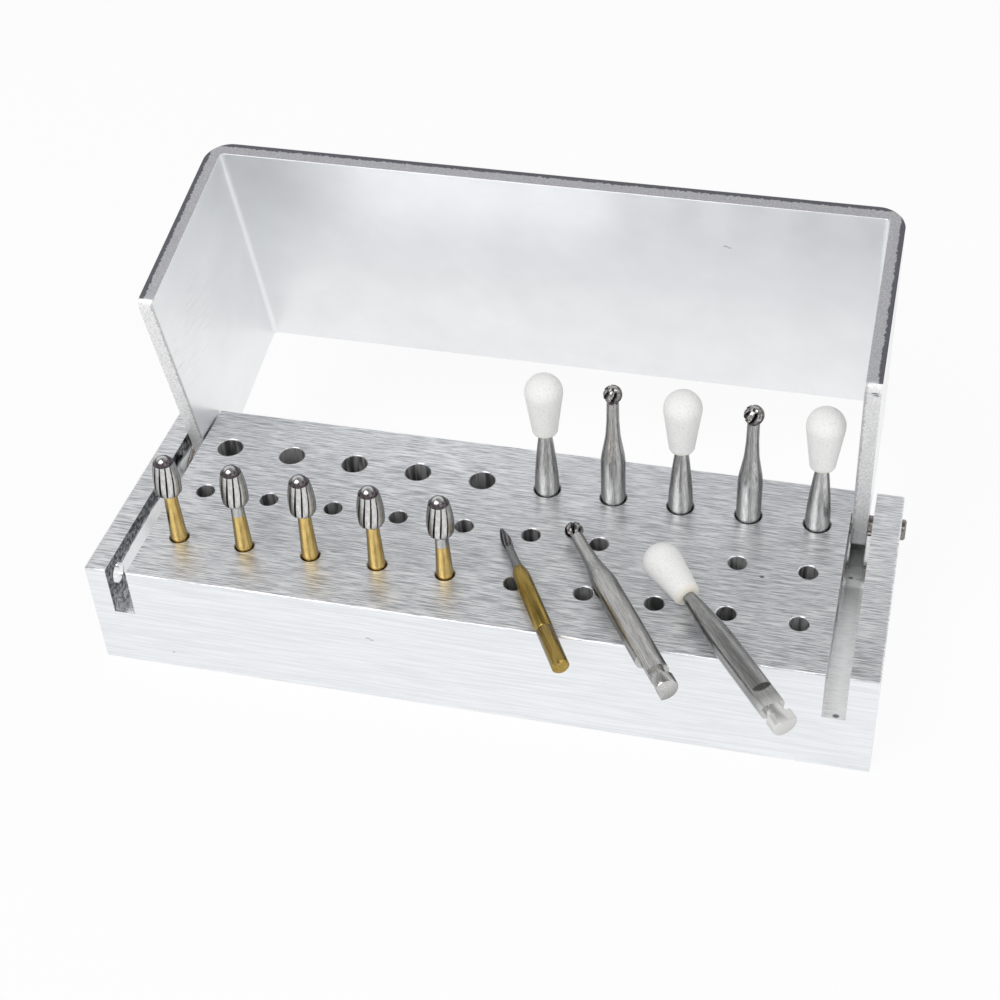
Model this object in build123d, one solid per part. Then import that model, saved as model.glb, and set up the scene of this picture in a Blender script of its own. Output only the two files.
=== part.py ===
from build123d import *
import os
from math import acos, atan2, cos, degrees, radians, sin, sqrt

# Dental bur block: a milled aluminium block with a folded sheet lid on two pins,
# ten burs standing in its sockets and three lying across its front edge.
# Millimetres. The origin is on the underside, below the centre of the socket grid:
# +X runs along the rows, +Y towards the hinge, +Z up.

# Block
BLOCK_LEFT = -36.4
BLOCK_RIGHT = 37.0
BLOCK_FRONT = -12.55
BLOCK_BACK = 12.3
BLOCK_HEIGHT = 11.65
EDGE_BREAK = 0.2

# Sockets: three rows of ten, the back row for latch shanks, the others for friction grip shanks
COLUMNS = 10
PITCH = 6.5
ROW_BACK = 6.74
ROW_MIDDLE = 0.0
ROW_FRONT = -6.73
LATCH_SOCKET_RADIUS = 1.275
GRIP_SOCKET_RADIUS = 0.9
LATCH_SOCKET_DEPTH = 9.5
GRIP_SOCKET_DEPTH = 9.3

# Slots that the lid's walls stand in, open at the front, the back and the top
SLOT_INNER = 32.25
SLOT_OUTER_LEFT = 34.3
SLOT_OUTER_RIGHT = 34.35
SLOT_DEPTH = 5.25

# Hinge line and the cross holes in the two cheeks
PIN_Y = 9.94
PIN_DROP = 2.2
PIN_RADIUS = 1.0
PIN_PROUD = 0.45
PIN_INNER_END = 29.5
PIN_CHAMFER = 0.15
FRONT_HOLE_Y = -10.4
FRONT_HOLE_RADIUS = 1.075

# Lid, in its level position: distances from the hinge line
SHEET = 1.5
LID_OUTER = 33.9
LID_BEHIND = 3.48
LID_AHEAD = 22.79
LID_BELOW = 1.92
LID_ABOVE = 17.97
LID_HEEL = 1.62
LID_CORNER = 0.8
FOLD_OUTER = 2.6
FOLD_INNER = 0.5
LID_PIN_CLEARANCE = 0.06
OPEN_ANGLE = 76.8

# Friction grip burs
GRIP_RADIUS = 0.8
GRIP_END_CHAMFER = 0.15
GRIP_NECK_RADIUS = 0.6
GRIP_FOOT_RADIUS = 0.64
FINISHING_HEIGHTS = (9.74, 9.62, 9.55, 9.35, 9.27)
FINISHING_HEAD_LENGTH = 5.6
FINISHING_FLUTES = 12
NEEDLE_LENGTH = 19.0
NEEDLE_FLUTES = 8

# Latch burs
LATCH_RADIUS = 1.175
LATCH_END_CHAMFER = 0.2
LATCH_FLAT_LENGTH = 4.1
LATCH_FLAT_OFFSET = 0.68
LATCH_GROOVE_START = 1.15
LATCH_GROOVE_WIDTH = 0.95
LATCH_GROOVE_RADIUS = 0.78
STONE_HEIGHT = 13.55
STONE_LENGTH = 6.6
STONE_RADIUS = 1.8
ROUND_HEIGHTS = (13.33, 12.95)
ROUND_RADII = (0.89, 0.95)
ROUND_HEAD_LENGTH = 1.75
ROUND_NECK_RADIUS = 0.575
LOOSE_ROUND_LENGTH = 22.63
LOOSE_STONE_LENGTH = 23.0

# Gullets of the round heads: fractions of the ball's radius, degrees down from the tip
ROUND_FLUTES = 6
GULLET_BOTTOM = 0.78
GULLET_SHIFT = 0.15
GULLET_SLANT = -24.0
GULLET_START = 22.0
GULLET_ARC = 108.0

# Loose burs: where the middle of the shank's end face lies, which way the head points
# in plan, how far the axis climbs towards the head, and how the shank is rolled
NEEDLE_END = (10.01, -16.92)
NEEDLE_HEADING = 120.12
LOOSE_ROUND_END = (19.39, -18.12)
LOOSE_ROUND_HEADING = 123.46
LOOSE_ROUND_ROLL = -105.0
LOOSE_STONE_END = (29.71, -19.61)
LOOSE_STONE_HEADING = 129.12
LOOSE_STONE_CLIMB = 2.97
LOOSE_STONE_END_RISE = 0.70
LOOSE_STONE_ROLL = 8.0

DECK = BLOCK_HEIGHT
PIN_Z = DECK - PIN_DROP
SLOT_FLOOR = DECK - SLOT_DEPTH
LID_INNER = LID_OUTER - SHEET
BLOCK_MIDDLE_X = (BLOCK_LEFT + BLOCK_RIGHT) / 2
BLOCK_MIDDLE_Y = (BLOCK_FRONT + BLOCK_BACK) / 2


def column_x(column):
    """The x of a socket column, counted from 0 at the left."""
    return (column - (COLUMNS - 1) / 2) * PITCH


def turned(outline):
    """A solid turned about Z from an outline drawn in x (radius) and z (height)."""
    return revolve(make_face(Plane.XZ * outline), Axis.Z)


def cross_hole(radius, y, z, x_from, x_to):
    """A cylinder along X, to cut or to stand for a pin."""
    middle = ((x_from + x_to) / 2, y, z)
    return Pos(*middle) * Rot(0, 90, 0) * Cylinder(radius, abs(x_to - x_from))


# Block
def blank():
    """The bar that the block is milled from, with both slots cut along it."""
    size = (BLOCK_RIGHT - BLOCK_LEFT, BLOCK_BACK - BLOCK_FRONT, BLOCK_HEIGHT)
    bar = Pos(BLOCK_MIDDLE_X, BLOCK_MIDDLE_Y, DECK / 2) * Box(*size)
    bar = chamfer(bar.edges(), EDGE_BREAK)
    for inner, outer in ((-SLOT_INNER, -SLOT_OUTER_LEFT), (SLOT_INNER, SLOT_OUTER_RIGHT)):
        width = abs(outer - inner)
        cutter = Box(width, size[1] + 2, SLOT_DEPTH + 1)
        bar -= Pos((inner + outer) / 2, BLOCK_MIDDLE_Y, SLOT_FLOOR + (SLOT_DEPTH + 1) / 2) * cutter
    return bar


def sockets():
    """A tool for each socket, from its flat floor to above the deck."""
    rows = (
        (ROW_BACK, LATCH_SOCKET_RADIUS, LATCH_SOCKET_DEPTH),
        (ROW_MIDDLE, GRIP_SOCKET_RADIUS, GRIP_SOCKET_DEPTH),
        (ROW_FRONT, GRIP_SOCKET_RADIUS, GRIP_SOCKET_DEPTH),
    )
    tools = []
    for y, radius, depth in rows:
        tool = Cylinder(radius, 2 * depth)
        for column in range(COLUMNS):
            tools.append(Pos(column_x(column), y, DECK) * tool)
    return tools


def bur_block():
    """The milled block: sockets, slots, hinge bores and the two front cross holes."""
    block = blank()
    for tool in sockets():
        block -= tool
    for edge, outer_face in ((-PIN_INNER_END, BLOCK_LEFT - 1), (PIN_INNER_END, BLOCK_RIGHT + 1)):
        block -= cross_hole(PIN_RADIUS, PIN_Y, PIN_Z, edge, outer_face)
    for inside, outer_face in ((-SLOT_INNER - 1, BLOCK_LEFT - 1), (SLOT_INNER + 1, BLOCK_RIGHT + 1)):
        block -= cross_hole(FRONT_HOLE_RADIUS, FRONT_HOLE_Y, PIN_Z, inside, outer_face)
    return block


def hinge_pin(side):
    """A plain pin through one cheek and the lid's wall into the deck, chamfered at both ends."""
    outer = BLOCK_RIGHT + PIN_PROUD if side > 0 else -BLOCK_LEFT + PIN_PROUD
    pin = cross_hole(PIN_RADIUS, PIN_Y, PIN_Z, side * PIN_INNER_END, side * outer)
    return chamfer(pin.edges().filter_by(GeomType.CIRCLE), PIN_CHAMFER)


# Lid
def wall_outline():
    """A side wall's outline in the level position, with y forward negative and the pin at 0, 0."""
    front = -LID_AHEAD
    bottom = -LID_BELOW
    top = LID_ABOVE + SHEET
    heel = (LID_BEHIND, LID_HEEL)
    far = sqrt(LID_BEHIND ** 2 + LID_HEEL ** 2)
    end_turn = degrees(atan2(LID_HEEL, LID_BEHIND)) - degrees(acos(LID_BELOW / far))
    middle_turn = (end_turn - 90) / 2
    nose_middle = (LID_BELOW * cos(radians(middle_turn)), LID_BELOW * sin(radians(middle_turn)))
    nose_end = (LID_BELOW * cos(radians(end_turn)), LID_BELOW * sin(radians(end_turn)))
    inset = LID_CORNER * (1 - sqrt(0.5))
    return (
        Line((front + LID_CORNER, bottom), (0, bottom))
        + ThreePointArc((0, bottom), nose_middle, nose_end)
        + Line(nose_end, heel)
        + Line(heel, (LID_BEHIND, top))
        + Line((LID_BEHIND, top), (front, top))
        + Line((front, top), (front, bottom + LID_CORNER))
        + ThreePointArc((front, bottom + LID_CORNER), (front + inset, bottom + inset),
                        (front + LID_CORNER, bottom))
    )


def lid_level():
    """The folded lid in its level position, about the hinge line at the origin."""
    face = make_face(Plane.YZ * wall_outline())
    shell = Pos(-LID_OUTER, 0, 0) * extrude(face, 2 * LID_OUTER)
    long_edges = shell.edges().filter_by(Axis.Y).sort_by(Axis.Z)[-2:]
    shell = fillet(long_edges, FOLD_OUTER)
    span = LID_AHEAD + LID_BEHIND + 2
    height = LID_ABOVE + LID_BELOW + 1
    hollow = Box(2 * LID_INNER, span, height)
    hollow = fillet(hollow.edges().filter_by(Axis.Y).sort_by(Axis.Z)[-2:], FOLD_INNER)
    shell -= Pos(0, (LID_BEHIND - LID_AHEAD) / 2, LID_ABOVE - height / 2) * hollow
    return shell - Rot(0, 90, 0) * Cylinder(PIN_RADIUS + LID_PIN_CLEARANCE, 4 * LID_OUTER)


def lid():
    """The lid thrown open, its rear edges resting on the back edges of the slot floors."""
    return Pos(0, PIN_Y, PIN_Z) * Rot(-OPEN_ANGLE, 0, 0) * lid_level()


# Friction grip burs, each standing on the middle of its shank's end face
def fluted(body, flutes, root, tip, low, high):
    """Cut saw-tooth flutes into a turned head: a radial face, a valley and a sloping land."""
    step = 360 / flutes
    pitch = radians(step)
    reach = tip * 1.3
    valley = (root * cos(0.02), root * 0.02)
    heel_radius = root + 0.6 * (tip - root)
    heel = (heel_radius * cos(pitch * 0.34), heel_radius * sin(pitch * 0.34))
    edge = (reach * cos(pitch * 0.98), reach * sin(pitch * 0.98))
    cutting_face = (reach * cos(pitch * 0.02), reach * sin(pitch * 0.02))
    outline = Polyline(valley, cutting_face, edge, heel, close=True)
    tool = Pos(0, 0, low) * extrude(make_face(outline), high - low)
    for index in range(flutes):
        body -= Rot(0, 0, index * step) * tool
    return body


def finishing_head(length):
    """Egg-shaped twelve-fluted carbide head on its bare neck, for a bur of this length."""
    cap = 0.9
    widest = 1.27
    belly_drop = 3.2
    side_radius = 10.22
    side_x = widest - side_radius
    reach = sqrt(side_x ** 2 + (belly_drop - cap) ** 2)
    join = (-cap * side_x / reach, cap - cap * (belly_drop - cap) / reach)
    cap_middle = (cap * sin(radians(35)), cap - cap * cos(radians(35)))
    halfway = (join[1] + belly_drop) / 2
    side_middle = (side_x + sqrt(side_radius ** 2 - (belly_drop - halfway) ** 2), halfway)
    drops = [(x, length - drop) for x, drop in (
        (0, 0), cap_middle, join, side_middle, (widest, belly_drop), (1.24, 3.75), (1.12, 4.15),
        (GRIP_NECK_RADIUS, 4.3), (GRIP_FOOT_RADIUS, FINISHING_HEAD_LENGTH),
        (0, FINISHING_HEAD_LENGTH))]
    top, cap_mid, side_top, side_mid, belly, low_side, low_rim, neck, neck_end, foot = drops
    outline = (
        ThreePointArc(top, cap_mid, side_top)
        + ThreePointArc(side_top, side_mid, belly)
        + ThreePointArc(belly, low_side, low_rim)
        + Polyline(low_rim, neck, neck_end, foot, top)
    )
    return fluted(turned(outline), FINISHING_FLUTES, 0.9, widest, length - 4.35, length)


def finishing_shank(length):
    """Plated shank that tapers up to the neck."""
    top = length - FINISHING_HEAD_LENGTH
    shoulder = GRIP_SOCKET_DEPTH + 0.3
    bevel = GRIP_END_CHAMFER
    outline = Polyline(
        (0, 0), (GRIP_RADIUS - bevel, 0), (GRIP_RADIUS, bevel), (GRIP_RADIUS, shoulder),
        (GRIP_FOOT_RADIUS, top), (0, top), close=True)
    return turned(outline)


def needle_head(length):
    """Slim flame head on its long bare neck."""
    widest = 0.5
    drops = [(x, length - drop) for x, drop in (
        (0, 0), (0.34, 0.9), (widest, 2.1), (0.47, 2.6), (0.37, 3.05),
        (0.4, 4.8), (0.5, 5.9), (0, 5.9))]
    tip, side, belly, low_side, neck, waist, neck_end, foot = drops
    outline = (
        ThreePointArc(tip, side, belly)
        + ThreePointArc(belly, low_side, neck)
        + Polyline(neck, waist, neck_end, foot, tip)
    )
    return fluted(turned(outline), NEEDLE_FLUTES, 0.36, widest, length - 3.0, length)


def needle_shank(length):
    """Plated shank with a fine ring turned in it."""
    bevel = GRIP_END_CHAMFER
    ring = 4.75
    depth = 0.05
    outline = (
        Polyline((0, length - 5.9), (0, 0), (GRIP_RADIUS - bevel, 0), (GRIP_RADIUS, bevel),
                 (GRIP_RADIUS, ring), (GRIP_RADIUS - depth, ring + 0.08),
                 (GRIP_RADIUS, ring + 0.16), (GRIP_RADIUS, length - 9.2))
        + ThreePointArc((GRIP_RADIUS, length - 9.2), (0.69, length - 7.2), (0.5, length - 5.9))
        + Line((0.5, length - 5.9), (0, length - 5.9))
    )
    return turned(outline)


# Latch burs, each standing on the middle of its shank's end face
def latch_shank(neck_radius, neck_top, flare_mid, full_radius_at):
    """Shank with a latch flat and groove at its foot, flaring in from a slim neck."""
    bevel = LATCH_END_CHAMFER
    outline = (
        Polyline((0, neck_top), (0, 0), (LATCH_RADIUS - bevel, 0), (LATCH_RADIUS, bevel),
                 (LATCH_RADIUS, full_radius_at))
        + ThreePointArc((LATCH_RADIUS, full_radius_at), flare_mid, (neck_radius, neck_top))
        + Line((neck_radius, neck_top), (0, neck_top))
    )
    shank = turned(outline)
    ring = Cylinder(2 * LATCH_RADIUS, LATCH_GROOVE_WIDTH)
    ring -= Cylinder(LATCH_GROOVE_RADIUS, LATCH_GROOVE_WIDTH)
    shank -= Pos(0, 0, LATCH_GROOVE_START + LATCH_GROOVE_WIDTH / 2) * ring
    flat = Box(2 * LATCH_RADIUS, 4 * LATCH_RADIUS, 2 * LATCH_FLAT_LENGTH)
    return shank - Pos(LATCH_FLAT_OFFSET + LATCH_RADIUS, 0, 0) * flat


def stone_shank(length):
    """Latch shank that swells straight down from the stone."""
    top = length - STONE_LENGTH
    return latch_shank(0.6, top, (0.96, top - 3.1), top - 6.1)


def round_shank(length):
    """Latch shank with a long slim neck and a shoulder."""
    neck_radius = ROUND_NECK_RADIUS
    top = length - ROUND_HEAD_LENGTH
    shank = latch_shank(neck_radius + 0.14, top - 3.9, (0.96, top - 5.4), top - 7.0)
    neck = Polyline((0, top - 3.9), (neck_radius + 0.14, top - 3.9), (neck_radius + 0.03, top - 2.2),
                    (neck_radius, top), (0, top), close=True)
    return shank + turned(neck)


def stone_head(length):
    """Pear-shaped white stone with a rounded foot."""
    drop = STONE_LENGTH
    tangent = radians(8)
    side = (STONE_RADIUS * cos(tangent), length - STONE_RADIUS - STONE_RADIUS * sin(tangent))
    crown_middle = (STONE_RADIUS * cos(radians(45)), length - STONE_RADIUS * (1 - sin(radians(45))))
    foot_side = (1.24, length - drop + 0.55)
    foot_middle = (1.12, length - drop + 0.16)
    foot = (0.85, length - drop)
    outline = (
        ThreePointArc((0, length), crown_middle, side)
        + Line(side, foot_side)
        + ThreePointArc(foot_side, foot_middle, foot)
        + Line(foot, (0, length - drop))
        + Line((0, length - drop), (0, length))
    )
    return turned(outline)


def round_head(length, radius):
    """Ball head with slanting gullets that run out near its tip and deepen to the neck."""
    centre = length - radius
    foot = length - ROUND_HEAD_LENGTH
    ball = Pos(0, 0, centre) * Sphere(radius)
    neck_height = centre - foot
    ball += Pos(0, 0, foot + neck_height / 2) * Cylinder(ROUND_NECK_RADIUS, neck_height)
    outside = 1.5 * radius
    bottom = (GULLET_BOTTOM * radius, 0.02 * radius)
    cutting_face = (outside, 0.06 * radius)
    back = (outside, -0.5 * radius)
    notch = make_face(Plane.XY * Polyline(bottom, cutting_face, back, close=True))
    wheel = Rot(0, GULLET_START - 90, 0) * revolve(notch, Axis.Y, revolution_arc=GULLET_ARC)
    wheel = Pos(-GULLET_SHIFT * radius, 0, -GULLET_SHIFT * radius) * wheel
    for index in range(ROUND_FLUTES):
        turn = index * 360 / ROUND_FLUTES
        ball -= Pos(0, 0, centre) * Rot(0, 0, turn) * Rot(GULLET_SLANT, 0, 0) * wheel
    keep = Pos(0, 0, (foot + length) / 2) * Box(4 * radius, 4 * radius, length - foot)
    return ball & keep


# Placing
def standing(piece, column, row, depth):
    """Stand a bur in a socket of this depth, its shank on the socket's floor."""
    return Pos(column_x(column), row, DECK - depth) * piece


def lying(piece, end, rise, heading, climb=0.0, roll=0.0):
    """Lay a bur with its shank's end face at a place in plan and its head towards a heading."""
    return (Pos(end[0], end[1], DECK + rise) * Rot(0, 0, heading) * Rot(0, 90 - climb, 0)
            * Rot(0, 0, 180 + roll) * piece)


def write(name, piece):
    """Write one piece to its own file."""
    piece.label = name
    export_step(piece, f"parts/{name}.step")


def write_front_row():
    """The five gold burs at the left of the front row."""
    for index, height in enumerate(FINISHING_HEIGHTS):
        length = height + GRIP_SOCKET_DEPTH
        name = f"finishing_bur_{index + 1}"
        place = (index, ROW_FRONT, GRIP_SOCKET_DEPTH)
        write(f"{name}_head", standing(finishing_head(length), *place))
        write(f"{name}_shank", standing(finishing_shank(length), *place))


def write_back_row():
    """Stones and round burs by turns at the right of the back row."""
    stone_length = STONE_HEIGHT + LATCH_SOCKET_DEPTH
    for index, column in enumerate((5, 7, 9)):
        name = f"stone_bur_{index + 1}"
        place = (column, ROW_BACK, LATCH_SOCKET_DEPTH)
        write(f"{name}_stone", standing(stone_head(stone_length), *place))
        write(f"{name}_shank", standing(stone_shank(stone_length), *place))
    for index, column in enumerate((6, 8)):
        length = ROUND_HEIGHTS[index] + LATCH_SOCKET_DEPTH
        name = f"round_bur_{index + 1}"
        place = (column, ROW_BACK, LATCH_SOCKET_DEPTH)
        write(f"{name}_head", standing(round_head(length, ROUND_RADII[index]), *place))
        write(f"{name}_shank", standing(round_shank(length), *place))


def write_loose_burs():
    """The three burs that lie across the front edge."""
    needle = (NEEDLE_END, GRIP_RADIUS, NEEDLE_HEADING)
    write("needle_bur_head", lying(needle_head(NEEDLE_LENGTH), *needle))
    write("needle_bur_shank", lying(needle_shank(NEEDLE_LENGTH), *needle))
    ball = (LOOSE_ROUND_END, LATCH_RADIUS, LOOSE_ROUND_HEADING, 0.0, LOOSE_ROUND_ROLL)
    write("loose_round_bur_head", lying(round_head(LOOSE_ROUND_LENGTH, ROUND_RADII[0]), *ball))
    write("loose_round_bur_shank", lying(round_shank(LOOSE_ROUND_LENGTH), *ball))
    stone = (LOOSE_STONE_END, LOOSE_STONE_END_RISE, LOOSE_STONE_HEADING, LOOSE_STONE_CLIMB,
             LOOSE_STONE_ROLL)
    write("loose_stone_bur_stone", lying(stone_head(LOOSE_STONE_LENGTH), *stone))
    write("loose_stone_bur_shank", lying(stone_shank(LOOSE_STONE_LENGTH), *stone))


os.makedirs("parts", exist_ok=True)
write("bur_block", bur_block())
write("lid", lid())
write("hinge_pin_left", hinge_pin(-1))
write("hinge_pin_right", hinge_pin(1))
write_front_row()
write_back_row()
write_loose_burs()
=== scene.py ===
from math import atan2, cos, pi, radians, sin, sqrt

import bmesh
import bpy
from bpy.props import FloatProperty, FloatVectorProperty, PointerProperty
from bpy.types import Operator, Panel, PropertyGroup
from mathutils import Matrix, Vector


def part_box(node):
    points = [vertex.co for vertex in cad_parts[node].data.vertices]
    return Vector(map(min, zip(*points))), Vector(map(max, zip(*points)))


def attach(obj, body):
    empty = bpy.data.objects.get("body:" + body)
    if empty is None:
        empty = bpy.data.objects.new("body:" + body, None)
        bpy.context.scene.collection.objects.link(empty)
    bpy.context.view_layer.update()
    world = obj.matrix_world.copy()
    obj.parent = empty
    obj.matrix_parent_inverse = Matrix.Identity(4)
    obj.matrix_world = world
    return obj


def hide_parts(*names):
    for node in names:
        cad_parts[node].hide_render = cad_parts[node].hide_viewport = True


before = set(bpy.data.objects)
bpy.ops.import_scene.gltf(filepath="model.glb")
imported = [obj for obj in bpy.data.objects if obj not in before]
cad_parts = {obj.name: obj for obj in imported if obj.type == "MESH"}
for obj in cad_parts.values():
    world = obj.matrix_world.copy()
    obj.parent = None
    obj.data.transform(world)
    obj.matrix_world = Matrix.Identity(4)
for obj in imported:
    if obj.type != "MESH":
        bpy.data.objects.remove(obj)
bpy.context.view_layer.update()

bl_info = {
    "name": "Dental Bur Block",
    "version": (1, 0, 0),
    "blender": (4, 5, 0),
    "location": "View3D > Sidebar > Bur Block",
    "description": "Brushed bur block with an open lid, standing burs and loose burs",
    "category": "Object",
}

MM = 0.001

# Block, in millimetres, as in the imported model
DECK = 11.65
BLOCK_LEFT = -36.4
BLOCK_RIGHT = 37.0
BLOCK_FRONT = -12.55
BLOCK_BACK = 12.3
PITCH = 6.5
COLUMNS = 10
ROW_BACK = 6.74
ROW_MIDDLE = 0.0
ROW_FRONT = -6.73
LATCH_SOCKET_RADIUS = 1.275
GRIP_SOCKET_RADIUS = 0.9
LATCH_SOCKET_DEPTH = 9.5
GRIP_SOCKET_DEPTH = 9.3
SLOT_INNER = 32.25
SLOT_OUTER_LEFT = 34.3
SLOT_OUTER_RIGHT = 34.35
SLOT_FLOOR = DECK - 5.25
PIN_Y = 9.94
PIN_Z = DECK - 2.2
PIN_RADIUS = 1.0
PIN_INNER_END = 29.5
FRONT_HOLE_Y = -10.4
FRONT_HOLE_RADIUS = 1.075

# Lid, in millimetres and degrees
LID_INNER = 32.4
LID_PLATE_INNER = 17.97
LID_AHEAD = 22.79
SHEET = 1.5
FOLD_REACH = 3.0
OPEN_ANGLE = 76.8

# Burs, in millimetres
GRIP_RADIUS = 0.8
GRIP_NECK_RADIUS = 0.6
GRIP_FOOT_RADIUS = 0.64
LATCH_RADIUS = 1.175
LATCH_FLAT = 0.68
LATCH_FLAT_TOP = 4.1
FINISHING_HEAD_LENGTH = 5.6
NEEDLE_HEAD_LENGTH = 5.9
NEEDLE_LENGTH = 19.0
ROUND_HEAD_LENGTH = 1.75
ROUND_NECK_RADIUS = 0.575
LOOSE_ROUND_LENGTH = 22.63
LOOSE_STONE_LENGTH = 23.0
FINISHING_HEIGHTS = (9.74, 9.62, 9.55, 9.35, 9.27)
STONE_HEIGHT = 13.55
STONE_LENGTH = 6.6
ROUND_HEIGHTS = (13.33, 12.95)
ROUND_RADII = (0.89, 0.95)

# Marks seen on the lid, in its level frame about the hinge line
RUB_ANGLE = 70.0
RUB_CENTRE = (-LID_INNER, -14.0, 2.5)
RUB_SIZE = (1.0, 6.0, 7.0)
PLATE_MARKS = (((17.3, -17.1, LID_PLATE_INNER), (0.3, 0.12, 0.3), (0.35, 0.35, 0.37), 0.7),
               ((17.65, -16.95, LID_PLATE_INNER), (0.25, 0.1, 0.3), (0.35, 0.35, 0.37), 0.7))
EDGE_NICKS = (((33.3, -22.0, -1.92), (0.45, 0.1, 0.3), (0.06, 0.06, 0.07), 0.9),
              ((33.45, -21.75, -1.92), (0.35, 0.1, 0.3), (0.06, 0.06, 0.07), 0.9))

# Marks seen on the block: centre and size in millimetres, colour, strength
DARK_MARK = (0.12, 0.12, 0.13)
DECK_NICKS = (((25.21, -1.46, DECK), (0.28, 0.2, 0.3), DARK_MARK, 0.8),
              ((25.6, -1.5, DECK), (0.3, 0.12, 0.3), (0.95, 0.95, 0.95), 0.8))
FRONT_NICKS = (((-9.2, BLOCK_FRONT, 7.82), (0.3, 0.3, 0.1), DARK_MARK, 0.5),
               ((-8.85, BLOCK_FRONT, 7.66), (0.25, 0.3, 0.1), DARK_MARK, 0.5),
               ((-29.15, BLOCK_FRONT, 1.93), (0.13, 0.3, 0.13), DARK_MARK, 0.6))
# Dark marks on the slot floors
SLOT_DARK_MARKS = (((32.94, 5.6, SLOT_FLOOR), (0.3, 0.18, 0.3), DARK_MARK, 0.9),
              ((33.8, 5.5, SLOT_FLOOR), (0.5, 0.1, 0.3), DARK_MARK, 0.5),
              ((33.48, -12.2, SLOT_FLOOR), (0.38, 0.28, 0.3), DARK_MARK, 0.9))

# The milled slots' colour and finish, and how the bright foot of the left slot's wall leans
SLOT_SHINE = (0.95, 0.955, 0.96)
MILLED = (SLOT_SHINE, 0.2, 1.5, 0.1, 0.04, 0.1, 0.05)
WALL_LEAN = (0.424, 0.145, 0.894)

# Painted highlights on the burs, measured from their tips
CAP_PAINTED_HIGHLIGHT = ((0.0, -0.2, -0.1), (0.62, 0.55, 0.45), (0.8, 0.8, 0.8), 1.0)
LATCH_END_PAINTED_HIGHLIGHT = ((0.0, 0.0, -LOOSE_STONE_LENGTH), (4.0, 4.0, 3.2), (0.78, 0.78, 0.77), 0.9)

# The finishing burs whose necks are plated, and the latch burs' materials and slots
GOLD_NECKS = (0, 2, 3)
STONE_METALS = (("White stone",), ("Shank steel",))
STONE_SLOTS = ("white_stone", "steel_shank")
ROUND_METALS = (("Carbide painted dark", "Carbide land"), ("Shank steel",))
ROUND_SLOTS = ("carbide", "steel_shank")

# Turned metals: name, dark and light colours, roughness, rim factor for painted shade at the silhouette, grain
# size, stretch, marks (here painted highlights)
METALS = (
    ("Ground carbide", (0.52, 0.52, 0.51), (0.78, 0.77, 0.75), 0.3, 0.3, 0.12, 0.25),
    # Painted shade: a darker grey for the walls of the finishing burs' flutes and for the needle's head
    ("Carbide groove, painted shade", (0.2, 0.2, 0.2), (0.36, 0.36, 0.36), 0.3, 0.5, 0.1, 0.3),
    # Painted reflection and shade: the caps' near-black colour stands for the dark overhead that they mirrors,
    # and groove floors and gullets are painted dark for shade
    ("Carbide painted dark", (0.05, 0.04, 0.045), (0.16, 0.14, 0.15), 0.14, 0.5, 0.1, 0.6, [CAP_PAINTED_HIGHLIGHT]),
    ("Carbide land", (0.1, 0.1, 0.1), (0.62, 0.6, 0.58), 0.13, 0.35, 0.22, 0.6),
    ("Gold plate", (0.6, 0.42, 0.14), (0.82, 0.6, 0.23), 0.24, 0.3, 0.1, 0.08),
    # Painted shade: a darker copy of the gold plating for the lying needle, whose plating mirrors the dark
    # overhead
    ("Gold plate, painted shade", (0.3, 0.2, 0.045), (0.5, 0.36, 0.11), 0.22, 0.5, 0.1, 0.06),
    ("Shank steel", (0.42, 0.42, 0.41), (0.72, 0.71, 0.7), 0.24, 0.2, 0.09, 0.06),
    ("Dull steel", (0.28, 0.28, 0.28), (0.44, 0.44, 0.43), 0.2, 0.7, 0.09, 0.06, [LATCH_END_PAINTED_HIGHLIGHT]))

# Lamps: name, place and size in metres, power in watts
LAMPS = (("Key", (-0.14, -0.24, 0.39), (0.36, 0.36), 1.12),
         ("Fill", (0.3, -0.25, 0.3), (0.3, 0.3), 0.32))
LAMP_TARGET = (0, 0, 0.01)
CAMERA_SHIFT = (-0.05946, 0.00524)


def column_x(column):
    """The x of a socket column, counted from 0 at the left."""
    return (column - (COLUMNS - 1) / 2) * PITCH


def settings():
    """The block's own settings on the scene."""
    return bpy.context.scene.bur_block


# Shader helpers
def shader_node(tree, kind, inputs=None, **attributes):
    """Add a node, set its attributes, and set or link its inputs."""
    made = tree.nodes.new(kind)
    for name, value in attributes.items():
        setattr(made, name, value)
    for name, value in (inputs or {}).items():
        if isinstance(value, bpy.types.NodeSocket):
            tree.links.new(value, made.inputs[name])
        else:
            made.inputs[name].default_value = value
    return made


def maths(tree, operation, first, second=0.0, third=0.0):
    """A Math node's value."""
    return shader_node(tree, "ShaderNodeMath", {
        0: first, 1: second, 2: third}, operation=operation).outputs[0]


def times(tree, first, second):
    """Two values or a value and a number, multiplied."""
    return maths(tree, "MULTIPLY", first, second)


def mapped(tree, value, low, high, start=0.0, end=1.0):
    """A value stretched from one range to another and held at its ends."""
    return shader_node(tree, "ShaderNodeMapRange", {
        "Value": value, 1: low, 2: high, 3: start, 4: end}).outputs[0]


def axes_of(tree, vector):
    """The three axes of a vector."""
    return shader_node(tree, "ShaderNodeSeparateXYZ", {0: vector}).outputs


def ramp(tree, factor, stops):
    """A colour ramp's colour, from (position, grey or colour) stops."""
    made = shader_node(tree, "ShaderNodeValToRGB", {"Fac": factor})
    elements = made.color_ramp.elements
    while len(elements) < len(stops):
        elements.new(0.5)
    for element, (position, colour) in zip(elements, stops):
        element.position = position
        grey = isinstance(colour, (int, float))
        element.color = (colour, colour, colour, 1.0) if grey else (*colour, 1.0)
    return made.outputs["Color"]


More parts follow.
